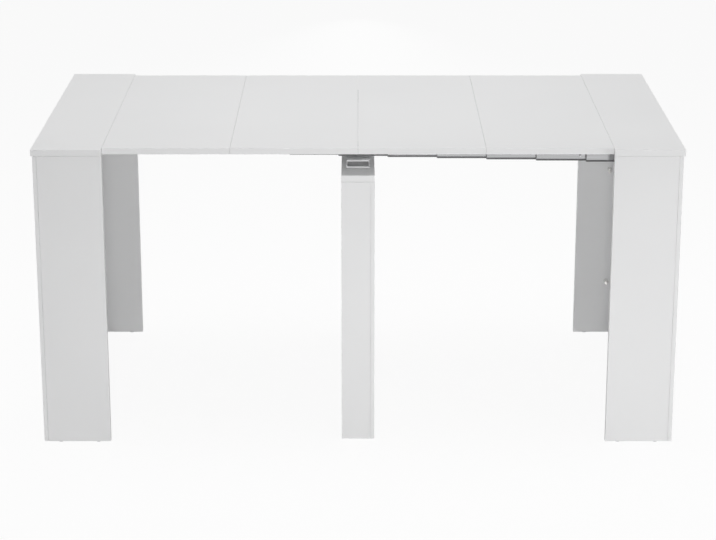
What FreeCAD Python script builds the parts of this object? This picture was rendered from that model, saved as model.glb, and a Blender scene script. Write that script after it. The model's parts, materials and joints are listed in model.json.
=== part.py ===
import FreeCAD, Part
import math
import os

Vector = FreeCAD.Vector

# Extendable console table, shown pulled out with its four loose leaves laid in.
# Millimetres. +X runs along the table, -Y faces the viewer, Z = 0 is the floor,
# and the origin is under the middle of the pulled-out table.

# Tops and leaves
TABLE_HEIGHT = 780.0
TOP_THICKNESS = 16.0
SLAB_LENGTH = 176.0
SLAB_DEPTH = 900.0
LEAF_COUNT = 4
LEAF_LENGTH = 320.0
SEAM_GAP = 0.4
LEAF_STORE_CLEARANCE = 1.0

# Ends
LEG_BOARD = 16.0
END_PANEL = 10.0
END_OVERHANG = 4.0
FRONT_OVERHANG = 2.0
EDGE_CHAMFER = 0.5
GROOVE_WIDTH = 1.0
GROOVE_DEPTH = 2.0

# Centre leg
CENTRE_LEG_WIDTH = 84.0
CENTRE_LEG_CLEARANCE = 2.0
CENTRE_TOP_BOARD = 16.0
CROSSBAR_WIDTH = 58.0
CROSSBAR_HEIGHT = 21.0
CROSSBAR_WALL = 4.2
CROSSBAR_SIDE_WALL = 1.8
CROSSBAR_SETBACK = 96.0
PAD_THICKNESS = 1.0

# Telescopic rails: profiles side by side, each hooked on the head of the next one further in
STAGE_COUNT = 11
STAGE_LENGTH = 190.0
STAGE_UNDER_SLAB = 126.5
CLOSED_STAGGER = 2.9
RAIL_HEIGHT = 33.0
RAIL_TOP_GAP = 0.3
RAIL_SETBACK = 70.0
RAIL_PANEL_GAP = 7.5
RAIL_PITCH = 12.0
RAIL_SIDE_GAP = 0.5
RAIL_CLEARANCE = 0.4
RAIL_WALL = 1.2
RAIL_FLOOR = 4.0
HEAD_THICKNESS = 2.0
HEAD_DROP = 6.5
HOOK_WALL = 2.0
HOOK_HOLD = 3.6
STOP_HOLE_DIAMETER = 6.5
STOP_HOLE_FROM_END = 110.0

# Rail angles
ANGLE_THICKNESS = 2.0
ANGLE_DROP = 26.0
ANGLE_FOOT = 25.0
ANGLE_LENGTH = 90.0
ANGLE_END_MARGIN = 8.0
ANGLE_SCREW_INSET = 25.0

# Fasteners and small pieces. They are many and small, so they are turned with flat sides.
FASTENER_SIDES = 6
FITTING_SIDES = 10
FIT = 0.1
DOWEL_DIAMETER = 8.0
DOWEL_LENGTH = 30.0
FACE_FLOOR = 4.0
CAM_DIAMETER = 15.0
CAM_BACKSET = 24.0
CAM_FLOOR = 3.5
CAM_SLOT_LENGTH = 9.0
CAM_SLOT_WIDTH = 1.6
CAM_SLOT_DEPTH = 2.0
CAM_BOLT_DIAMETER = 6.0
CAM_BORE = 7.0
SCREW_DIAMETER = 3.5
SCREW_HEAD_DIAMETER = 7.2
SCREW_HEAD_CROWN = 4.6
SCREW_HEAD_HEIGHT = 2.4
SCREW_TIP = 3.0
ACCESS_HOLE_DIAMETER = 9.0
GLIDE_DIAMETER = 14.0
GLIDE_HEIGHT = 2.0
GLIDE_CHAMFER = 0.8
GLIDE_NAIL_DIAMETER = 3.0
GLIDE_NAIL_LENGTH = 12.0
PEG_DIAMETER = 12.0
PEG_REACH = 26.0
PEG_CHAMFER = 2.0
PEG_SHANK_DIAMETER = 6.0
PEG_SHANK_LENGTH = 10.0
PEG_LOW_Z = 163.0
PEG_SPACING = 340.0
STUD_DIAMETER = 10.0
STUD_REACH = 12.0
STUD_CHAMFER = 2.0
STUD_PIN_DIAMETER = 5.0
STUD_PIN_LENGTH = 8.0
STUD_GAP = 0.6

# Fastener places, as shares of the joint they hold
TOP_DOWELS = (0.3, 0.7)
SIDE_DOWELS = (0.1, 0.9)
SIDE_CAMS = (0.2, 0.8)
BOARD_GLIDES = (0.2, 0.8)
POST_DOWELS = (0.2, 0.6)
CROSSBAR_SCREWS = (-0.33, 0.33)

# Places worked out from the sizes above
UNDER_TOP = TABLE_HEIGHT - TOP_THICKNESS
INNER_X = (LEAF_COUNT * LEAF_LENGTH + (LEAF_COUNT + 1) * SEAM_GAP) / 2
OUTER_X = INNER_X + SLAB_LENGTH
PANEL_OUT = OUTER_X - END_OVERHANG
PANEL_IN = PANEL_OUT - END_PANEL
BOARD_OUT = SLAB_DEPTH / 2 - FRONT_OVERHANG
BOARD_IN = BOARD_OUT - LEG_BOARD
BOARD_MIDDLE = BOARD_IN + LEG_BOARD / 2
BOARD_WIDTH = PANEL_IN - INNER_X
LEAF_DEPTH = 2 * (BOARD_IN - LEAF_STORE_CLEARANCE)

RAIL_BOTTOM = UNDER_TOP - RAIL_TOP_GAP - RAIL_HEIGHT
RAIL_MIDDLE = RAIL_BOTTOM + RAIL_HEIGHT / 2
STAGE_STEP = 2 * INNER_X / (STAGE_COUNT - 1) - CLOSED_STAGGER
CENTRE_STAGE = (STAGE_COUNT + 1) // 2
NECK_DEPTH = HOOK_WALL + 2 * RAIL_CLEARANCE
NECK_DROP = HEAD_DROP + HOOK_HOLD + RAIL_CLEARANCE
RAIL_BOX_FRONT = HEAD_THICKNESS + NECK_DEPTH
RAIL_BOX_BACK = RAIL_PITCH - RAIL_SIDE_GAP
RAIL_BOX_MIDDLE = (RAIL_BOX_FRONT + RAIL_BOX_BACK) / 2
HOOK_FRONT = RAIL_PITCH + HEAD_THICKNESS + RAIL_CLEARANCE
HOOK_BACK = HOOK_FRONT + HOOK_WALL

CROSSBAR_TOP = RAIL_BOTTOM - PAD_THICKNESS
CROSSBAR_BOTTOM = CROSSBAR_TOP - CROSSBAR_HEIGHT
CROSSBAR_END = BOARD_OUT - CROSSBAR_SETBACK
CENTRE_X = CENTRE_LEG_WIDTH / 2
CENTRE_PANEL_IN = CENTRE_X - END_PANEL
CENTRE_FACE = BOARD_IN - CENTRE_LEG_CLEARANCE
CENTRE_POST_TOP = CROSSBAR_BOTTOM - CENTRE_TOP_BOARD

DOWEL_IN_FACE = END_PANEL - FACE_FLOOR
CAM_DEPTH = LEG_BOARD - CAM_FLOOR
PEG_X = PANEL_IN - LEAF_COUNT * TOP_THICKNESS - LEAF_STORE_CLEARANCE - PEG_DIAMETER / 2
TOP_SCREW_BITE = TOP_THICKNESS - FACE_FLOOR

ORIGIN = Vector(0, 0, 0)
ALONG = Vector(1, 0, 0)
ACROSS = Vector(0, 1, 0)
UP = Vector(0, 0, 1)


# Shapes

def block(x_range, y_range, z_range):
    """A plain box between pairs of limits."""
    ranges = (x_range, y_range, z_range)
    corner = Vector(*[low for low, high in ranges])
    return Part.makeBox(*[high - low for low, high in ranges], corner)


def board(x_range, y_range, z_range):
    """A furniture board with its edges broken."""
    solid = block(x_range, y_range, z_range)
    return solid.makeChamfer(EDGE_CHAMFER, solid.Edges)


def flat_side(first, second, turn, step):
    """One flat side between two (radius, distance along the axis) points."""
    corners = []
    for (radius, along), angle in (
        (first, turn * step),
        (first, turn * (step + 1)),
        (second, turn * (step + 1)),
        (second, turn * step),
    ):
        corner = Vector(radius * math.cos(angle), radius * math.sin(angle), along)
        if corner not in corners:
            corners.append(corner)
    return Part.Face(Part.makePolygon(corners + corners[:1]))


def turned(points, base, direction, sides):
    """A flat-sided solid of revolution from (radius, distance along the axis) points."""
    turn = 2 * math.pi / sides
    faces = []
    for first, second in zip(points, points[1:]):
        faces += [flat_side(first, second, turn, step) for step in range(sides)]
    solid = Part.Solid(Part.Shell(faces)).removeSplitter()
    solid.Placement = FreeCAD.Placement(base, FreeCAD.Rotation(UP, direction))
    return solid


def rod(diameter, length, base, direction, sides=FASTENER_SIDES):
    """A plain rod, used for shanks and holes."""
    radius = diameter / 2
    points = [(0, 0), (radius, 0), (radius, length), (0, length)]
    return turned(points, base, direction, sides)


def to_rear(shape):
    """The mirror image on the rear half of the table."""
    return shape.mirror(ORIGIN, ACROSS)


def to_left(shape):
    """The mirror image on the left half of the table."""
    return shape.mirror(ORIGIN, ALONG)


def front_and_rear(shapes):
    """The shapes with their mirror images at the rear."""
    return shapes + [to_rear(shape) for shape in shapes]


def joint_grooves(x_range, panel_x, face_y, top_z):
    """Narrow grooves in a front face where it meets the top and the side panel."""
    depth = (face_y, face_y + GROOVE_DEPTH)
    under_top = block(x_range, depth, (top_z - GROOVE_WIDTH, top_z))
    beside_panel = block((panel_x - GROOVE_WIDTH, panel_x), depth, (GLIDE_HEIGHT, top_z))
    return [under_top, beside_panel]


def drilled(piece, holes):
    """The piece with every hole cut that reaches into it."""
    reached = [hole for hole in holes if piece.BoundBox.intersect(hole.BoundBox)]
    return piece.cut(reached).Solids[0] if reached else piece


def save(name, pieces):
    """Write one piece, or a group of separate pieces, as one file."""
    shape = pieces[0] if len(pieces) == 1 else Part.makeCompound(pieces)
    shape.exportStep("parts/" + name + ".step")


# Fasteners, each as a solid and the hole that takes it

def dowel(joint, into_face):
    """A dowel across a joint, its short end in the board that is drilled on its face."""
    start = joint + into_face * DOWEL_IN_FACE
    hole_start = start + into_face * FIT
    hole = rod(DOWEL_DIAMETER + 2 * FIT, DOWEL_LENGTH + 2 * FIT, hole_start, -into_face)
    return rod(DOWEL_DIAMETER, DOWEL_LENGTH, start, -into_face), hole


def cam_lock(joint, into_face, inward):
    """A cam disc in a board's inner face, the bolt it pulls, and the holes for both."""
    face_point = joint - into_face * CAM_BACKSET + inward * (LEG_BOARD / 2)
    disc = rod(CAM_DIAMETER, CAM_DEPTH, face_point, -inward, FITTING_SIDES)
    bolt_start = joint + into_face * (DOWEL_IN_FACE - FIT)
    bolt_length = DOWEL_IN_FACE - FIT + CAM_BACKSET
    bore = rod(CAM_BORE, bolt_length + FIT, bolt_start, -into_face)
    slot = block(
        (face_point.x - CAM_SLOT_WIDTH / 2, face_point.x + CAM_SLOT_WIDTH / 2),
        (face_point.y - CAM_SLOT_DEPTH, face_point.y + CAM_SLOT_DEPTH),
        (face_point.z - CAM_SLOT_LENGTH / 2, face_point.z + CAM_SLOT_LENGTH / 2),
    )
    pocket = rod(CAM_DIAMETER + 2 * FIT, CAM_DEPTH + FIT, face_point, -inward, FITTING_SIDES)
    bolt = rod(CAM_BOLT_DIAMETER, bolt_length, bolt_start, -into_face)
    bolt_hole = rod(CAM_BOLT_DIAMETER + 2 * FIT, bolt_length, bolt_start + into_face * FIT, -into_face)
    return disc.cut([bore, slot]).Solids[0], bolt, [pocket, bolt_hole]


def screw(seat, direction, grip):
    """A pan-head screw whose head sits on seat, with grip millimetres of shank past it."""
    radius = SCREW_DIAMETER / 2
    points = [
        (0, -SCREW_HEAD_HEIGHT),
        (SCREW_HEAD_CROWN / 2, -SCREW_HEAD_HEIGHT),
        (SCREW_HEAD_DIAMETER / 2, 0),
        (radius, 0),
        (radius, grip - SCREW_TIP),
        (0, grip),
    ]
    hole = rod(SCREW_DIAMETER + 2 * FIT, grip + FIT, seat, direction)
    return turned(points, seat, direction, FASTENER_SIDES), hole


def glide(x, y):
    """A nail-in glide under a board's lower edge."""
    foot = GLIDE_DIAMETER / 2
    nail = GLIDE_NAIL_DIAMETER / 2
    points = [
        (0, 0),
        (foot - GLIDE_CHAMFER, 0),
        (foot, GLIDE_CHAMFER),
        (foot, GLIDE_HEIGHT),
        (nail, GLIDE_HEIGHT),
        (nail, GLIDE_HEIGHT + GLIDE_NAIL_LENGTH - nail),
        (0, GLIDE_HEIGHT + GLIDE_NAIL_LENGTH),
    ]
    base = Vector(x, y, 0)
    hole_length = GLIDE_HEIGHT + GLIDE_NAIL_LENGTH + FIT
    hole = rod(GLIDE_NAIL_DIAMETER + 2 * FIT, hole_length, base, UP, FITTING_SIDES)
    return turned(points, base, UP, FITTING_SIDES), hole


def leaf_store_peg(z):
    """A round peg on the front board's inner face that keeps stored leaves from tipping in."""
    body = PEG_DIAMETER / 2
    shank = PEG_SHANK_DIAMETER / 2
    points = [
        (0, -PEG_SHANK_LENGTH),
        (shank, -PEG_SHANK_LENGTH),
        (shank, 0),
        (body, 0),
        (body, PEG_REACH - PEG_CHAMFER),
        (body - PEG_CHAMFER, PEG_REACH),
        (0, PEG_REACH),
    ]
    base = Vector(PEG_X, -BOARD_IN, z)
    hole = rod(PEG_SHANK_DIAMETER + 2 * FIT, PEG_SHANK_LENGTH + FIT, base, -ACROSS, FITTING_SIDES)
    return turned(points, base, ACROSS, FITTING_SIDES), hole


def leaf_stud(x, y):
    """A stud under a leaf that stands just inside its rail profile."""
    body = STUD_DIAMETER / 2
    pin = STUD_PIN_DIAMETER / 2
    points = [
        (0, -STUD_REACH),
        (body - STUD_CHAMFER, -STUD_REACH),
        (body, STUD_CHAMFER - STUD_REACH),
        (body, 0),
        (pin, 0),
        (pin, STUD_PIN_LENGTH),
        (0, STUD_PIN_LENGTH),
    ]
    base = Vector(x, y, UNDER_TOP)
    hole = rod(STUD_PIN_DIAMETER + 2 * FIT, STUD_PIN_LENGTH + FIT, base, UP, FITTING_SIDES)
    return turned(points, base, UP, FITTING_SIDES), hole


# Telescopic rails

def stage_left(stage):
    """Left end of a profile. The last one runs on to the left end panel, to be held there."""
    if stage == STAGE_COUNT:
        return RAIL_PANEL_GAP - PANEL_IN
    return stage_right(stage) - STAGE_LENGTH


def stage_right(stage):
    """Right end of a profile. Stage 1 is the one under the right top."""
    return INNER_X + STAGE_UNDER_SLAB - STAGE_STEP * (stage - 1)


def stage_face(stage):
    """Y of the outer face of a front profile."""
    return RAIL_SETBACK - BOARD_OUT + RAIL_PITCH * (stage - 1)


def rail_outline():
    """The profile's section as (depth inward, height) points: head, neck, box and two hooks."""
    lower = [
        (0, HEAD_DROP),
        (HEAD_THICKNESS, HEAD_DROP),
        (HEAD_THICKNESS, NECK_DROP),
        (RAIL_BOX_FRONT, NECK_DROP),
        (RAIL_BOX_FRONT, 0),
        (RAIL_BOX_BACK, 0),
        (RAIL_BOX_BACK, HEAD_DROP - RAIL_CLEARANCE - HOOK_WALL),
        (HOOK_BACK, HEAD_DROP - RAIL_CLEARANCE - HOOK_WALL),
        (HOOK_BACK, HEAD_DROP + HOOK_HOLD),
        (HOOK_FRONT, HEAD_DROP + HOOK_HOLD),
        (HOOK_FRONT, HEAD_DROP - RAIL_CLEARANCE),
        (RAIL_BOX_BACK, HEAD_DROP - RAIL_CLEARANCE),
    ]
    upper = [(depth, RAIL_HEIGHT - height) for depth, height in reversed(lower)]
    return lower + upper


def rail_profile(stage, holes):
    """One front profile: the hollow section, its stop hole and any screw holes."""
    left = stage_left(stage)
    face_y = stage_face(stage)
    length = stage_right(stage) - left
    outline = [Vector(left, face_y + depth, RAIL_BOTTOM + height) for depth, height in rail_outline()]
    section = Part.Face(Part.makePolygon(outline + outline[:1]))
    solid = section.extrude(ALONG * length)
    chamber = block(
        (left, left + length),
        (face_y + RAIL_BOX_FRONT + RAIL_WALL, face_y + RAIL_BOX_BACK - RAIL_WALL),
        (RAIL_BOTTOM + RAIL_FLOOR, RAIL_BOTTOM + RAIL_HEIGHT - RAIL_FLOOR),
    )
    stop_x = stage_right(stage) - STAGE_LENGTH + STOP_HOLE_FROM_END
    stop_start = Vector(stop_x, face_y, RAIL_MIDDLE)
    stop_hole = rod(STOP_HOLE_DIAMETER, RAIL_BOX_MIDDLE, stop_start, ACROSS, FITTING_SIDES)
    return drilled(solid.cut([chamber, stop_hole]).Solids[0], holes)


def rail_angle(stage, start_x):
    """The steel angle that hangs an end profile under its top, with its screws."""
    face_y = stage_face(stage)
    outline = [
        (face_y, UNDER_TOP),
        (face_y - ANGLE_FOOT, UNDER_TOP),
        (face_y - ANGLE_FOOT, UNDER_TOP - ANGLE_THICKNESS),
        (face_y - ANGLE_THICKNESS, UNDER_TOP - ANGLE_THICKNESS),
        (face_y - ANGLE_THICKNESS, UNDER_TOP - ANGLE_DROP),
        (face_y, UNDER_TOP - ANGLE_DROP),
    ]
    points = [Vector(start_x, y, z) for y, z in outline]
    section = Part.Face(Part.makePolygon(points + points[:1]))
    solid = section.extrude(ALONG * ANGLE_LENGTH)
    foot_y = face_y - (ANGLE_FOOT + ANGLE_THICKNESS) / 2
    fixings = []
    for x in (start_x + ANGLE_SCREW_INSET, start_x + ANGLE_LENGTH - ANGLE_SCREW_INSET):
        up_seat = Vector(x, foot_y, UNDER_TOP - ANGLE_THICKNESS)
        side_seat = Vector(x, face_y - ANGLE_THICKNESS, RAIL_MIDDLE)
        fixings.append(screw(up_seat, UP, ANGLE_THICKNESS + TOP_SCREW_BITE))
        fixings.append(screw(side_seat, ACROSS, ANGLE_THICKNESS + RAIL_BOX_MIDDLE))
    screws = [solid_screw for solid_screw, hole in fixings]
    holes = [hole for solid_screw, hole in fixings]
    return drilled(solid, holes), screws, holes


def end_rail(side, stage, start_x):
    """An end's fixed profiles with their angles and screws. Returns the holes in the top."""
    angle, screws, holes = rail_angle(stage, start_x)
    save_rail_pair(stage, holes)
    save(side + "_rail_angles", front_and_rear([angle]))
    save(side + "_rail_screws", front_and_rear(screws))
    return front_and_rear(holes)


def save_rail_pair(stage, holes):
    """The front profile of a stage and its mirror image at the rear."""
    profile = rail_profile(stage, holes)
    save("front_rail_%02d" % stage, [profile])
    save("rear_rail_%02d" % stage, [to_rear(profile)])


# Ends

def end_dowels():
    """Dowels of the right end's front board: two up into the top, two into the panel."""
    fixings = []
    for share in TOP_DOWELS:
        joint = Vector(INNER_X + BOARD_WIDTH * share, -BOARD_MIDDLE, UNDER_TOP)
        fixings.append(dowel(joint, UP))
    for share in SIDE_DOWELS:
        joint = Vector(PANEL_IN, -BOARD_MIDDLE, UNDER_TOP * share)
        fixings.append(dowel(joint, ALONG))
    return fixings


def end_cam_locks():
    """Cam locks of the right end's front board: one to the top, two to the panel."""
    top_joint = Vector(INNER_X + BOARD_WIDTH / 2, -BOARD_MIDDLE, UNDER_TOP)
    locks = [cam_lock(top_joint, UP, ACROSS)]
    for share in SIDE_CAMS:
        joint = Vector(PANEL_IN, -BOARD_MIDDLE, UNDER_TOP * share)
        locks.append(cam_lock(joint, ALONG, ACROSS))
    return locks


def make_end(side, rail_holes, peg_holes):
    """One end: top, end panel, two leg boards and their fasteners."""
    placed = to_left if side == "left" else lambda shape: shape
    dowels = end_dowels()
    locks = end_cam_locks()
    glides = [glide(INNER_X + BOARD_WIDTH * share, -BOARD_MIDDLE) for share in BOARD_GLIDES]
    holes = [hole for solid, hole in dowels + glides]
    for disc, bolt, lock_holes in locks:
        holes += lock_holes
    holes += joint_grooves((INNER_X, PANEL_OUT), PANEL_IN, -BOARD_OUT, UNDER_TOP)
    holes = [placed(hole) for hole in front_and_rear(holes)] + rail_holes + peg_holes

    top = board((INNER_X, OUTER_X), (-SLAB_DEPTH / 2, SLAB_DEPTH / 2), (UNDER_TOP, TABLE_HEIGHT))
    panel = board((PANEL_IN, PANEL_OUT), (-BOARD_OUT, BOARD_OUT), (GLIDE_HEIGHT, UNDER_TOP))
    front = board((INNER_X, PANEL_IN), (-BOARD_OUT, -BOARD_IN), (GLIDE_HEIGHT, UNDER_TOP))
    pieces = {"top": top, "end_panel": panel, "front_board": front, "rear_board": to_rear(front)}
    for name, piece in pieces.items():
        save(side + "_" + name, [drilled(placed(piece), holes)])

    groups = {
        "dowels": [solid for solid, hole in dowels],
        "cam_discs": [disc for disc, bolt, lock_holes in locks],
        "cam_bolts": [bolt for disc, bolt, lock_holes in locks],
        "glides": [solid for solid, hole in glides],
    }
    for name, solids in groups.items():
        save(side + "_" + name, [placed(solid) for solid in front_and_rear(solids)])


def make_leaf_store_pegs():
    """Four pegs inside the right end. Returns their holes."""
    pegs = [leaf_store_peg(z) for z in (PEG_LOW_Z, PEG_LOW_Z + PEG_SPACING)]
    save("leaf_store_pegs", front_and_rear([solid for solid, hole in pegs]))
    return front_and_rear([hole for solid, hole in pegs])


# Centre leg

def crossbar_fixings():
    """Screws up into the middle profiles and down into the leg, and the holes to reach them."""
    rail_y = stage_face(CENTRE_STAGE) + RAIL_BOX_MIDDLE
    up_z = CROSSBAR_TOP - CROSSBAR_WALL
    up_grip = CROSSBAR_WALL + PAD_THICKNESS + RAIL_FLOOR + SCREW_TIP
    down_z = CROSSBAR_BOTTOM + CROSSBAR_WALL
    down_grip = CROSSBAR_WALL + CENTRE_TOP_BOARD - FACE_FLOOR
    access_length = CROSSBAR_HEIGHT - CROSSBAR_WALL
    fixings = []
    access = []
    for share in CROSSBAR_SCREWS:
        x = CROSSBAR_WIDTH * share
        for y in (rail_y, -rail_y):
            fixings.append(screw(Vector(x, y, up_z), UP, up_grip))
            access.append(rod(ACCESS_HOLE_DIAMETER, access_length, Vector(x, y, CROSSBAR_BOTTOM), UP))
    for y in (-CROSSBAR_END / 2, 0, CROSSBAR_END / 2):
        fixings.append(screw(Vector(0, y, down_z), -UP, down_grip))
        access.append(rod(ACCESS_HOLE_DIAMETER, access_length, Vector(0, y, CROSSBAR_TOP), -UP))
    return fixings, access


def centre_dowels():
    """Dowels of the centre leg's front post: two up into its top, two into its side panel."""
    post_y = LEG_BOARD / 2 - CENTRE_FACE
    post_width = CENTRE_PANEL_IN + CENTRE_X
    fixings = []
    for share in POST_DOWELS:
        fixings.append(dowel(Vector(post_width * share - CENTRE_X, post_y, CENTRE_POST_TOP), UP))
    for share in SIDE_DOWELS:
        fixings.append(dowel(Vector(CENTRE_PANEL_IN, post_y, CENTRE_POST_TOP * share), ALONG))
    return fixings


def make_centre_leg():
    """The centre leg with its crossbar, carried by the middle profile of each rail."""
    fixings, access = crossbar_fixings()
    screw_holes = [hole for solid, hole in fixings]
    dowels = centre_dowels()
    glides = [glide(0, LEG_BOARD / 2 - CENTRE_FACE)]
    holes = [hole for solid, hole in dowels + glides]
    holes += joint_grooves((-CENTRE_X, CENTRE_X), CENTRE_PANEL_IN, -CENTRE_FACE, CENTRE_POST_TOP)
    holes = screw_holes + front_and_rear(holes)
    depth = (-CENTRE_FACE, CENTRE_FACE)
    height = (GLIDE_HEIGHT, CENTRE_POST_TOP)

    top = board((-CENTRE_X, CENTRE_X), depth, (CENTRE_POST_TOP, CROSSBAR_BOTTOM))
    panel = board((CENTRE_PANEL_IN, CENTRE_X), depth, height)
    post = board((-CENTRE_X, CENTRE_PANEL_IN), (-CENTRE_FACE, LEG_BOARD - CENTRE_FACE), height)
    pieces = {"top_board": top, "side_panel": panel, "front_post": post, "rear_post": to_rear(post)}
    for name, piece in pieces.items():
        save("centre_" + name, [drilled(piece, holes)])
    save("centre_dowels", front_and_rear([solid for solid, hole in dowels]))
    save("centre_glides", front_and_rear([solid for solid, hole in glides]))

    half = CROSSBAR_WIDTH / 2
    tube = block((-half, half), (-CROSSBAR_END, CROSSBAR_END), (CROSSBAR_BOTTOM, CROSSBAR_TOP))
    inside = block(
        (CROSSBAR_SIDE_WALL - half, half - CROSSBAR_SIDE_WALL),
        (-CROSSBAR_END, CROSSBAR_END),
        (CROSSBAR_BOTTOM + CROSSBAR_WALL, CROSSBAR_TOP - CROSSBAR_WALL),
    )
    save("crossbar", [drilled(tube.cut(inside), screw_holes + access)])
    save("crossbar_screws", [solid for solid, hole in fixings])

    face_y = stage_face(CENTRE_STAGE)
    pad = block(
        (-half, half),
        (face_y + RAIL_BOX_FRONT, face_y + RAIL_BOX_BACK),
        (CROSSBAR_TOP, RAIL_BOTTOM),
    )
    save("crossbar_pads", front_and_rear([drilled(pad, screw_holes)]))
    save_rail_pair(CENTRE_STAGE, screw_holes)


# Leaves

def leaf_carrier(number):
    """The stage a leaf rides on, so that all seams open alike when the ends are pulled apart."""
    share = (LEAF_COUNT + 1 - number) / (LEAF_COUNT + 1)
    return 1 + round(share * (STAGE_COUNT - 1))


def make_leaf(number):
    """One loose leaf, counted from the left, with two studs beside the free part of its profiles."""
    left = SEAM_GAP - INNER_X + (number - 1) * (LEAF_LENGTH + SEAM_GAP)
    right = left + LEAF_LENGTH
    stage = leaf_carrier(number)
    free_span = (max(left, stage_right(stage + 1)), min(right, stage_right(stage)))
    stud_y = stage_face(stage) + HOOK_BACK + STUD_GAP + STUD_DIAMETER / 2
    stud, hole = leaf_stud(sum(free_span) / 2, stud_y)
    leaf = board((left, right), (-LEAF_DEPTH / 2, LEAF_DEPTH / 2), (UNDER_TOP, TABLE_HEIGHT))
    save("leaf_%d" % number, [drilled(leaf, front_and_rear([hole]))])
    save("leaf_%d_studs" % number, front_and_rear([stud]))


def main():
    os.makedirs("parts", exist_ok=True)
    right_angle_x = stage_right(1) - ANGLE_END_MARGIN - ANGLE_LENGTH
    left_angle_x = stage_left(STAGE_COUNT) + ANGLE_END_MARGIN
    right_holes = end_rail("right", 1, right_angle_x)
    left_holes = end_rail("left", STAGE_COUNT, left_angle_x)
    make_end("right", right_holes, make_leaf_store_pegs())
    make_end("left", left_holes, [])
    for stage in range(2, STAGE_COUNT):
        if stage != CENTRE_STAGE:
            save_rail_pair(stage, [])
    make_centre_leg()
    for number in range(1, LEAF_COUNT + 1):
        make_leaf(number)


main()
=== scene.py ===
import json
import math

import bmesh
import bpy
from mathutils import Matrix, Vector


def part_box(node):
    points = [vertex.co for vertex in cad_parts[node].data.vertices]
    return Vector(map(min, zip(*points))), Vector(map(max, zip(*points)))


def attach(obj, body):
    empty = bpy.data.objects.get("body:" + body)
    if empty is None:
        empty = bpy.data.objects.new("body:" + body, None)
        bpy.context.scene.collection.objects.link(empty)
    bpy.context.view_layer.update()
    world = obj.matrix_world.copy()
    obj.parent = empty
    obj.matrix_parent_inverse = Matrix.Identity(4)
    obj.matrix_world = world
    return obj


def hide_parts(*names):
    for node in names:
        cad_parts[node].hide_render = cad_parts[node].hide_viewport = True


# Looks of the extendable console table. Metres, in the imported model's own frame.

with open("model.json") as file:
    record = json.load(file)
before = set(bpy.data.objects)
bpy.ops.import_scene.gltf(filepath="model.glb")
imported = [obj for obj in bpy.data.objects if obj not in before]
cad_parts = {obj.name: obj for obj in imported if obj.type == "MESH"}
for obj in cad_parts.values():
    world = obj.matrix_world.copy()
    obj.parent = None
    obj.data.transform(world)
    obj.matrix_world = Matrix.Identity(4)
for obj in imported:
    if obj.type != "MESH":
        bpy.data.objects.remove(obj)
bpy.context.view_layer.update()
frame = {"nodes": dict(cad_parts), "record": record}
nodes = frame["nodes"]

MM = 0.001


# Materials

# The range that most of a noise texture's values lie in
NOISE_LOW = 0.3
NOISE_HIGH = 0.7

# How far the die lines of an extrusion are drawn out along it
DIE_LINES = 0.012


def start_material(name):
    """A new node material, with its tree and its principled shader."""
    material = bpy.data.materials.new(name)
    material.use_nodes = True
    return material, material.node_tree, material.node_tree.nodes["Principled BSDF"]


def noise(tree, scale, stretch=(1, 1, 1), detail=2.0):
    """A noise value on the piece's own coordinates. A stretch below 1 draws it out along that axis."""
    place = tree.nodes.new("ShaderNodeTexCoord")
    mapping = tree.nodes.new("ShaderNodeMapping")
    mapping.inputs["Scale"].default_value = stretch
    texture = tree.nodes.new("ShaderNodeTexNoise")
    texture.inputs["Scale"].default_value = scale
    texture.inputs["Detail"].default_value = detail
    tree.links.new(place.outputs["Object"], mapping.inputs["Vector"])
    tree.links.new(mapping.outputs["Vector"], texture.inputs["Vector"])
    return texture.outputs["Fac"]


def spread(tree, value, low, high):
    """A noise value, spread over a range."""
    node = tree.nodes.new("ShaderNodeMapRange")
    node.inputs["From Min"].default_value = NOISE_LOW
    node.inputs["From Max"].default_value = NOISE_HIGH
    node.inputs["To Min"].default_value = low
    node.inputs["To Max"].default_value = high
    tree.links.new(value, node.inputs["Value"])
    return node.outputs["Result"]


def two_tones(tree, value, first, second):
    """A colour that wanders between two tones with a noise value."""
    node = tree.nodes.new("ShaderNodeValToRGB")
    for element, place, tone in zip(node.color_ramp.elements, (NOISE_LOW, NOISE_HIGH), (first, second)):
        element.position = place
        element.color = (*tone, 1)
    tree.links.new(value, node.inputs["Fac"])
    return node.outputs["Color"]


def set_surface(tree, shader, colour, roughness):
    """Link a colour and a roughness to the shader."""
    tree.links.new(colour, shader.inputs["Base Color"])
    tree.links.new(roughness, shader.inputs["Roughness"])


def add_bump(tree, shader, height, depth, strength):
    """Surface relief of a depth in metres."""
    node = tree.nodes.new("ShaderNodeBump")
    node.inputs["Distance"].default_value = depth
    node.inputs["Strength"].default_value = strength
    tree.links.new(height, node.inputs["Height"])
    tree.links.new(node.outputs["Normal"], shader.inputs["Normal"])


def lacquered_board():
    """White lacquer on board: a slow drift of tone, and the fine skin of sprayed paint."""
    material, tree, shader = start_material("white_lacquered_board")
    colour = two_tones(tree, noise(tree, scale=2.2), (0.855, 0.857, 0.86), (0.88, 0.881, 0.883))
    roughness = spread(tree, noise(tree, scale=9.0), low=0.66, high=0.74)
    set_surface(tree, shader, colour, roughness)
    add_bump(tree, shader, noise(tree, scale=700.0, detail=1.0), depth=0.0001, strength=0.12)
    shader.inputs["IOR"].default_value = 1.48
    return material


def drawn_aluminium(name, stretch, tones, roughness, metallic):
    """An extrusion, with die lines along the axis that the stretch draws out."""
    material, tree, shader = start_material(name)
    lines = noise(tree, scale=900.0, stretch=stretch, detail=3.0)
    set_surface(tree, shader, two_tones(tree, lines, *tones), spread(tree, lines, *roughness))
    add_bump(tree, shader, lines, depth=0.00002, strength=0.06)
    shader.inputs["Metallic"].default_value = metallic
    return material


def rail_aluminium():
    """The satin anodised finish of the rails, which run from left to right."""
    return drawn_aluminium(
        "rail_aluminium",
        stretch=(DIE_LINES, 1, 1),
        tones=((0.44, 0.443, 0.45), (0.52, 0.523, 0.53)),
        roughness=(0.12, 0.17),
        metallic=1)


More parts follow.
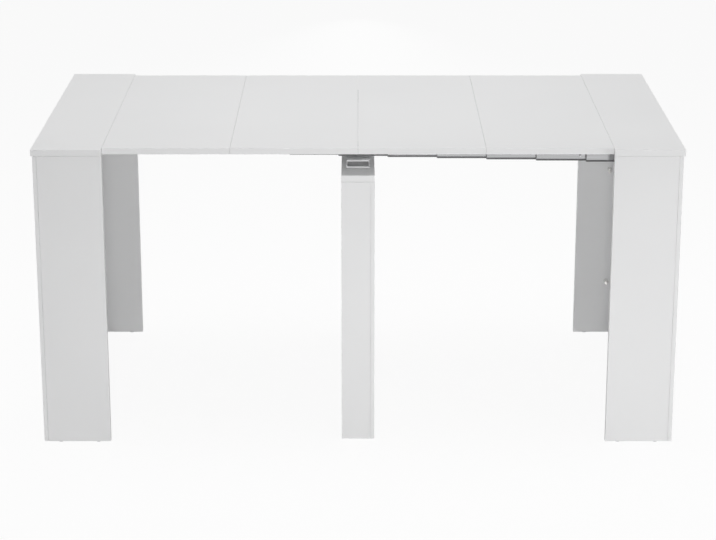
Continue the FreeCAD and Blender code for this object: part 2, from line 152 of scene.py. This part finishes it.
def crossbar_aluminium():
    """The duller mill finish of the crossbar, which runs from front to back."""
    return drawn_aluminium(
        "crossbar_aluminium",
        stretch=(1, DIE_LINES, 1),
        tones=((0.6, 0.603, 0.61), (0.68, 0.682, 0.687)),
        roughness=(0.42, 0.5),
        metallic=0.3)


def zinc_plate():
    """Bright zinc plate with its faint cloudy crystals."""
    material, tree, shader = start_material("zinc_plate")
    cloud = noise(tree, scale=160.0, detail=4.0)
    colour = two_tones(tree, cloud, (0.56, 0.575, 0.6), (0.72, 0.725, 0.735))
    set_surface(tree, shader, colour, spread(tree, cloud, low=0.22, high=0.4))
    add_bump(tree, shader, noise(tree, scale=1200.0), depth=0.00005, strength=0.2)
    shader.inputs["Metallic"].default_value = 1
    return material


def nickel_plate():
    """Bright nickel with fine turning marks."""
    material, tree, shader = start_material("nickel_plate")
    marks = noise(tree, scale=1500.0, stretch=(1, 0.3, 1), detail=3.0)
    colour = two_tones(tree, marks, (0.8, 0.79, 0.77), (0.88, 0.87, 0.85))
    set_surface(tree, shader, colour, spread(tree, marks, low=0.12, high=0.22))
    add_bump(tree, shader, marks, depth=0.00002, strength=0.15)
    shader.inputs["Metallic"].default_value = 1
    return material


def moulded_plastic(name, first, second, roughness):
    """Moulded plastic with a fine spark-eroded skin."""
    material, tree, shader = start_material(name)
    colour = two_tones(tree, noise(tree, scale=60.0), first, second)
    uneven = spread(tree, noise(tree, scale=400.0), low=roughness, high=roughness + 0.12)
    set_surface(tree, shader, colour, uneven)
    add_bump(tree, shader, noise(tree, scale=2500.0), depth=0.00005, strength=0.3)
    return material


def turned_beech():
    """Plain beech, with its grain from left to right."""
    material, tree, shader = start_material("beech")
    grain = noise(tree, scale=260.0, stretch=(0.1, 1, 1), detail=5.0)
    colour = two_tones(tree, grain, (0.58, 0.4, 0.24), (0.76, 0.58, 0.4))
    set_surface(tree, shader, colour, spread(tree, grain, low=0.55, high=0.75))
    add_bump(tree, shader, grain, depth=0.0001, strength=0.4)
    return material


def dress_nodes():
    """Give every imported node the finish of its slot."""
    finishes = {
        "white_board": lacquered_board(),
        "satin_aluminium": rail_aluminium(),
        "zinc_steel": zinc_plate(),
        "beech": turned_beech(),
        "grey_plastic": moulded_plastic("grey_plastic", (0.5, 0.5, 0.51), (0.58, 0.58, 0.59), 0.5),
        "white_plastic": moulded_plastic("white_plastic", (0.8, 0.8, 0.8), (0.85, 0.85, 0.85), 0.3),
    }
    for part in frame["record"]["subparts"]:
        mesh = nodes[part["node"]].data
        mesh.materials.clear()
        mesh.materials.append(finishes[part["material_slot"]])
    nodes["crossbar"].data.materials[0] = crossbar_aluminium()
    return finishes


# Small pieces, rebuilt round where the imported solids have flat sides

# Points nearer to each other than this are one point
SAME = 0.01 * MM

# Faces that meet at a larger angle, in degrees, keep a sharp edge between them
SHARP = 32


def same_place(point):
    """A point as a key that is the same for every vertex at that place."""
    return tuple(round(value / SAME) for value in point)


def solids_of(node):
    """The points of each separate solid in a node."""
    mesh = nodes[node].data
    leader = {}

    def find(key):
        while leader.setdefault(key, key) != key:
            key = leader[key]
        return key

    for polygon in mesh.polygons:
        keys = [same_place(mesh.vertices[index].co) for index in polygon.vertices]
        for key in keys[1:]:
            leader[find(key)] = find(keys[0])
    groups = {}
    for vertex in mesh.vertices:
        groups.setdefault(find(same_place(vertex.co)), []).append(vertex.co.copy())
    return list(groups.values())


def box_of(points):
    """The lowest and highest corners of a box round points."""
    low = Vector([min(point[axis] for point in points) for axis in range(3)])
    high = Vector([max(point[axis] for point in points) for axis in range(3)])
    return low, high


def turning(points):
    """Where a turned solid sits: its thin end, its axis towards the thick end, and its length."""
    low, high = box_of(points)
    size = high - low
    middle = (low + high) / 2
    axis = max(range(3), key=lambda index: size[index])
    radius = []
    for point in points:
        offset = point - middle
        offset[axis] = 0
        radius.append(offset.length)
    nearly_widest = 0.97 * max(radius)
    thick = [point[axis] for point, value in zip(points, radius) if value > nearly_widest]
    direction = Vector((0, 0, 0))
    direction[axis] = 1 if sum(thick) / len(thick) > middle[axis] else -1
    start = middle - direction * (size[axis] / 2)
    return start, direction, size[axis]


def in_metres(profile):
    """A profile of (radius, distance) points, from millimetres to metres."""
    return [(radius * MM, along * MM) for radius, along in profile]


def arc(centre, radius, start, end, steps):
    """Points of a rounded edge in a profile, angles in degrees from the radius towards the axis."""
    angles = [math.radians(start + (end - start) * step / steps) for step in range(steps + 1)]
    return [(centre[0] + radius * math.cos(angle), centre[1] + radius * math.sin(angle)) for angle in angles]


def add_rings(shape, profile, base, direction, sides):
    """Rings of vertices turned round an axis from (radius, distance) points, with faces between."""
    turn = direction.to_track_quat("Z", "Y").to_matrix()
    rings = []
    for radius, along in profile:
        ring = []
        for step in range(sides if radius > 0 else 1):
            angle = 2 * math.pi * step / sides
            local = Vector((radius * math.cos(angle), radius * math.sin(angle), along))
            ring.append(shape.verts.new(base + turn @ local))
        rings.append(ring)
    for first, second in zip(rings, rings[1:]):
        for step in range(sides):
            corners = [first[step % len(first)], first[(step + 1) % len(first)],
                       second[(step + 1) % len(second)], second[step % len(second)]]
            corners = list(dict.fromkeys(corners))
            if len(corners) > 2:
                shape.faces.new(corners)
    return rings, turn


def add_recess(shape, rim, base, turn, top, half_width, half_length, depth):
    """A flat top inside a rim, with a cross-shaped driver recess sunk into it."""
    taper = 0.85
    outline = []
    for quarter in range(4):
        swing = Matrix.Rotation(math.pi / 2 * quarter, 3, "Z")
        for x, y in ((half_width, half_width), (half_width, half_length), (-half_width, half_length)):
            outline.append(swing @ Vector((x, y, 0)))
    upper = []
    lower = []
    for point in outline:
        upper.append(shape.verts.new(base + turn @ (point + Vector((0, 0, top)))))
        lower.append(shape.verts.new(base + turn @ (point * taper + Vector((0, 0, top - depth)))))
    edges = []
    for loop in (rim, upper):
        for first, second in zip(loop, loop[1:] + loop[:1]):
            edges.append(shape.edges.get((first, second)) or shape.edges.new((first, second)))
    bmesh.ops.triangle_fill(shape, edges=edges, use_beauty=True, use_dissolve=False)
    count = len(outline)
    for step in range(count):
        following = (step + 1) % count
        shape.faces.new((upper[step], upper[following], lower[following], lower[step]))
    shape.faces.new(lower)


def finish_piece(name, shape, material, body, replaced=()):
    """Turn a bmesh into a piece that rides on a body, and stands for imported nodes."""
    bmesh.ops.recalc_face_normals(shape, faces=shape.faces[:])
    mesh = bpy.data.meshes.new(name)
    shape.to_mesh(mesh)
    shape.free()
    mesh.materials.append(material)
    mesh.shade_smooth()
    mesh.set_sharp_from_angle(angle=math.radians(SHARP))
    piece = bpy.data.objects.new(name, mesh)
    bpy.context.scene.collection.objects.link(piece)
    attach(piece, body)
    if replaced:
        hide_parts(*replaced)


def round_group(node, body, material, profile):
    """All turned solids of a node, rebuilt round. The profile runs from the thin end, in millimetres."""
    shape = bmesh.new()
    for points in solids_of(node):
        base, direction, _ = turning(points)
        add_rings(shape, in_metres(profile), base, direction, sides=32)
    finish_piece(node + "_round", shape, material, body, [node])


def make_pegs(material):
    """Leaf-store pegs: a shank in the board, a collar, and a stem with a rounded nose and a centre mark."""
    shank = 3
    stem = 6
    sunk = 10
    collar_top = 13.2
    collar_rounding = 0.6
    groove_rounding = 0.4
    nose = 36
    nose_rounding = 2.8
    mark = 35.6
    profile = [(0, 0), (shank, 0), (shank, sunk), (stem, sunk)]
    profile += arc((stem - collar_rounding, collar_top - collar_rounding), collar_rounding, 0, 90, 4)
    profile += arc((stem - groove_rounding, collar_top + groove_rounding), groove_rounding, -90, 0, 3)
    profile += arc((stem - nose_rounding, nose - nose_rounding), nose_rounding, 0, 90, 8)
    profile += [(1.2, nose), (0.9, mark), (0, mark)]
    round_group("leaf_store_pegs", "right_end", material, profile)


def make_studs(material):
    """Locating studs under the leaves: a shank in the board, and a stem with a rounded nose."""
    shank = 2.5
    stem = 5
    sunk = 8
    nose = 20
    rounding = 1.6
    profile = [(0, 0), (shank, 0), (shank, sunk), (stem, sunk)]
    profile += arc((stem - rounding, nose - rounding), rounding, 0, 90, 6) + [(0, nose)]
    for leaf in range(1, 5):
        round_group("leaf_%d_studs" % leaf, "leaf_%d" % leaf, material, profile)


def make_glides(material):
    """Nail-in glides with a rounded foot."""
    nail = 1.5
    foot = 7
    sunk = 12
    floor = 14
    rounding = 1
    profile = [(0, 0), (nail, nail), (nail, sunk), (foot, sunk)]
    profile += arc((foot - rounding, floor - rounding), rounding, 0, 90, 5) + [(0, floor)]
    for side, body in (("right", "right_end"), ("left", "left_end"), ("centre", "stage_06")):
        round_group(side + "_glides", body, material, profile)


def make_screws(node, body, material):
    """Pan-head screws with a domed head and a cross recess."""
    thread = 1.75
    head = 3.6
    head_height = 2.4
    dome = 1.7
    flat = 2.2
    shape = bmesh.new()
    for points in solids_of(node):
        base, direction, length = turning(points)
        seat = length / MM - head_height
        top = seat + 2.2
        profile = [(0, 0), (1.1, 2.2), (thread, 3), (thread, seat), (head, seat)]
        profile += arc((head - dome, seat + 0.4), dome, 0, 70, 6) + [(flat, top)]
        rings, turn = add_rings(shape, in_metres(profile), base, direction, sides=32)
        add_recess(shape, rings[-1], base, turn, top * MM,
                   half_width=0.45 * MM, half_length=1.7 * MM, depth=1.1 * MM)
    finish_piece(node + "_round", shape, material, body, [node])


def make_cam_discs(side, material):
    """Cam discs with a bevelled rim and a cross slot, flush in the boards' inner faces."""
    node = side + "_cam_discs"
    rim = 7.5
    rounding = 0.5
    flat = 5.6
    shape = bmesh.new()
    for points in solids_of(node):
        low, high = box_of(points)
        middle = (low + high) / 2
        inward = Vector((0, -1 if middle.y > 0 else 1, 0))
        depth = (high.y - low.y) / MM
        base = middle - inward * (depth / 2 * MM)
        profile = [(0, 0), (rim, 0)]
        profile += arc((rim - rounding, depth - rounding), rounding, 0, 90, 4) + [(flat, depth)]
        rings, turn = add_rings(shape, in_metres(profile), base, inward, sides=40)
        add_recess(shape, rings[-1], base, turn, depth * MM,
                   half_width=0.8 * MM, half_length=4.2 * MM, depth=2 * MM)
    finish_piece(node + "_round", shape, material, side + "_end", [node])


# Trim of the telescopic rails and the crossbar

STAGES = 11


def stage_body(stage):
    """The body that a rail's profile belongs to. The first and the last are fixed to the two ends."""
    return {1: "right_end", STAGES: "left_end"}.get(stage, "stage_%02d" % stage)


def in_hollow(point, low, high):
    """True for points of the profile's hollow, which keep clear of the sides of its box."""
    clear_y = 5 * MM
    clear_z = 3 * MM
    return low.y + clear_y < point.y < high.y - clear_y and low.z + clear_z < point.z < high.z - clear_z


def add_cap(shape, node, side):
    """A thin plastic cap over an end of a profile, with the profile's own outline."""
    thickness = 1.2 * MM
    low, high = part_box(node)
    end = low.x if side < 0 else high.x
    mesh = nodes[node].data
    made = {}
    faces = []
    for polygon in mesh.polygons:
        corners = [mesh.vertices[index].co for index in polygon.vertices]
        if max(abs(corner.x - end) for corner in corners) > SAME:
            continue
        verts = []
        for corner in corners:
            key = same_place(corner)
            if key not in made:
                made[key] = shape.verts.new(corner)
            verts.append(made[key])
        faces.append(shape.faces.new(verts))
    edges = {edge for face in faces for edge in face.edges if len(edge.link_faces) == 1}
    hollow = [edge for edge in edges if all(in_hollow(vert.co, low, high) for vert in edge.verts)]
    faces += bmesh.ops.holes_fill(shape, edges=hollow)["faces"]
    grown = bmesh.ops.extrude_face_region(shape, geom=faces, use_keep_orig=True)
    moved = [item for item in grown["geom"] if isinstance(item, bmesh.types.BMVert)]
    bmesh.ops.translate(shape, verts=moved, vec=(side * thickness, 0, 0))


def add_strip(shape, low, high):
    """A slim strip with broken edges between two corners."""
    size = high - low
    place = Matrix.Translation((low + high) / 2) @ Matrix.Diagonal((*size, 1))
    made = bmesh.ops.create_cube(shape, size=1, matrix=place)["verts"]
    edges = list({edge for vert in made for edge in vert.link_edges})
    bmesh.ops.bevel(shape, geom=edges, offset=0.3 * MM, segments=2, affect="EDGES")


def add_shade_slides(shape, node):
    """Slide strips in the lower and upper groove behind a profile's head, dark so that they paint the shade
    under the head: painted shade.
    """
    height = 3.5 * MM
    edge_gap = 0.2 * MM
    end_gap = 0.5 * MM
    low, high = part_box(node)
    front = (low + high).y < 0
    face = low.y if front else high.y
    inward = 1 if front else -1
    groove = (2.2, 4.8)
    near, far = sorted(face + inward * depth * MM for depth in groove)
    # The dark strips stand in for the shade under the head: painted shade.
    for bottom in (low.z + edge_gap, high.z - edge_gap - height):
        add_strip(shape,
                  Vector((low.x + end_gap, near, bottom)),
                  Vector((high.x - end_gap, far, bottom + height)))


def make_rail_trim(material):
    """End caps, and slide strips whose dark colour paints the shade under the profiles' heads, for every
    pair of front and rear profiles.
    """
    for stage in range(1, STAGES + 1):
        caps = bmesh.new()
        shade_slides = bmesh.new()
        for row in ("front", "rear"):
            node = "%s_rail_%02d" % (row, stage)
            add_cap(caps, node, -1)
            add_cap(caps, node, 1)
            add_shade_slides(shade_slides, node)
        finish_piece("rail_caps_%02d" % stage, caps, material, stage_body(stage))
        finish_piece("rail_shade_slides_%02d" % stage, shade_slides, material, stage_body(stage))


def make_crossbar_plugs(material):
    """Moulded plugs in the crossbar's open ends: a plate set back in the opening, on two fins."""
    side_gap = 1.9 * MM
    wall_gap = 4.3 * MM
    fin = 1.5 * MM
    low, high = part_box("crossbar")
    bottom = low.z + wall_gap
    top = high.z - wall_gap
    shape = bmesh.new()
    for end, inward in ((low.y, 1), (high.y, -1)):
        # The plate's two faces and the fins' two ends, by their depth in the opening
        outside, root, inside, tip = (end + inward * depth * MM for depth in (5, 7, 7.5, 16))
        for first, second, under, over in (
                (outside, inside, bottom, top),
                (root, tip, bottom, bottom + fin),
                (root, tip, top - fin, top)):
            add_strip(shape,
                      Vector((low.x + side_gap, min(first, second), under)),
                      Vector((high.x - side_gap, max(first, second), over)))
    finish_piece("crossbar_plugs", shape, material, "stage_06")


# Studio

# The middle of the table, which most lamps point at
MIDDLE = (0, 0, 0.42)


def seen_rays(tree):
    """One for rays that show the background: straight, mirrored or through glass."""
    path = tree.nodes.new("ShaderNodeLightPath")
    total = path.outputs["Is Camera Ray"]
    for name in ("Is Glossy Ray", "Is Transmission Ray"):
        larger = tree.nodes.new("ShaderNodeMath")
        larger.operation = "MAXIMUM"
        tree.links.new(total, larger.inputs[0])
        tree.links.new(path.outputs[name], larger.inputs[1])
        total = larger.outputs[0]
    return total


def pale_floor():
    """A pale floor that looks white and keeps part of the table's shadow."""
    white_share = 0.92
    material, tree, shader = start_material("pale_floor")
    tone = two_tones(tree, noise(tree, scale=1.5), (0.95, 0.95, 0.95), (0.96, 0.96, 0.96))
    tree.links.new(tone, shader.inputs["Base Color"])
    shader.inputs["Roughness"].default_value = 0.9
    shader.inputs["Specular IOR Level"].default_value = 0
    glow = tree.nodes.new("ShaderNodeEmission")
    mix = tree.nodes.new("ShaderNodeMixShader")
    share = tree.nodes.new("ShaderNodeMath")
    share.operation = "MULTIPLY"
    share.inputs[1].default_value = white_share
    tree.links.new(seen_rays(tree), share.inputs[0])
    tree.links.new(share.outputs[0], mix.inputs["Fac"])
    tree.links.new(shader.outputs["BSDF"], mix.inputs[1])
    tree.links.new(glow.outputs["Emission"], mix.inputs[2])
    tree.links.new(mix.outputs["Shader"], tree.nodes["Material Output"].inputs["Surface"])
    return material


def make_floor():
    """A wide plain floor at the height of the table's feet."""
    reach = 30.0
    mesh = bpy.data.meshes.new("floor")
    corners = [(-reach, -reach, 0), (reach, -reach, 0), (reach, reach, 0), (-reach, reach, 0)]
    mesh.from_pydata(corners, [], [(0, 1, 2, 3)])
    mesh.materials.append(pale_floor())
    floor = bpy.data.objects.new("floor", mesh)
    bpy.context.scene.collection.objects.link(floor)


def make_world(ambient):
    """Even studio light, and a white backdrop where it is seen."""
    world = bpy.data.worlds.new("studio")
    world.use_nodes = True
    bpy.context.scene.world = world
    tree = world.node_tree
    background = tree.nodes["Background"]
    background.inputs["Color"].default_value = (1, 1, 1, 1)
    level = tree.nodes.new("ShaderNodeMapRange")
    level.inputs["To Min"].default_value = ambient
    level.inputs["To Max"].default_value = 1.0
    tree.links.new(seen_rays(tree), level.inputs["Value"])
    tree.links.new(level.outputs["Result"], background.inputs["Strength"])


def area_light(name, place, target, size, power, grid):
    """A round soft box behind a grid, which keeps its light within an angle in degrees."""
    lamp = bpy.data.lights.new(name, "AREA")
    lamp.shape = "DISK"
    lamp.size = size
    lamp.energy = power
    lamp.spread = math.radians(grid)
    light = bpy.data.objects.new(name, lamp)
    light.location = place
    light.rotation_euler = (Vector(target) - Vector(place)).to_track_quat("-Z", "Y").to_euler()
    bpy.context.scene.collection.objects.link(light)


def make_lamps():
    """Soft boxes all round: one above, one in front, one behind, and weaker ones at the two ends."""
    level = MIDDLE[2]
    area_light("overhead", (0.05, 0.1, 4.2), target=(0.05, 0.1, 0), size=3.4, power=25.5, grid=105)
    area_light("front", (0, -5.4, 1.3), target=MIDDLE, size=0.5, power=7, grid=60)
    area_light("rear", (0, 5.5, level), target=MIDDLE, size=0.8, power=7, grid=60)
    area_light("right", (2.4, -1.7, level), target=(0.7, -0.4, level), size=0.7, power=2.4, grid=90)
    area_light("left", (-4.5, 0, level), target=MIDDLE, size=0.8, power=2.9, grid=60)
    area_light("right_rear", (4.2, 1.7, level), target=(0.8, 0.25, level), size=0.8, power=1.9, grid=60)


def make_camera():
    """The photograph's viewpoint, tilted down onto the table."""
    tilt = 17.19
    data = bpy.data.cameras.new("camera")
    data.sensor_width = 36
    data.lens = 110.2
    camera = bpy.data.objects.new("camera", data)
    camera.location = (0, -5.75, 2.107)
    camera.rotation_euler = (math.radians(90 - tilt), 0, 0)
    bpy.context.scene.collection.objects.link(camera)
    bpy.context.scene.camera = camera


# The making

finishes = dress_nodes()
make_pegs(nickel_plate())
make_studs(finishes["white_plastic"])
make_glides(finishes["grey_plastic"])
make_screws("right_rail_screws", "right_end", finishes["zinc_steel"])
make_screws("left_rail_screws", "left_end", finishes["zinc_steel"])
make_screws("crossbar_screws", "stage_06", finishes["zinc_steel"])
make_cam_discs("right", finishes["zinc_steel"])
make_cam_discs("left", finishes["zinc_steel"])
# Dark plastic for the end caps, and for the slide strips, where its darkness is painted shade under the
# rails' heads.
make_rail_trim(moulded_plastic("dark_plastic_and_painted_shade", (0.12, 0.12, 0.124), (0.16, 0.16, 0.165), 0.45))
make_crossbar_plugs(moulded_plastic("plug_plastic", (0.19, 0.19, 0.193), (0.23, 0.23, 0.234), 0.5))
make_floor()
make_world(ambient=0.37)
make_lamps()
make_camera()
bpy.context.scene.view_settings.view_transform = "Standard"
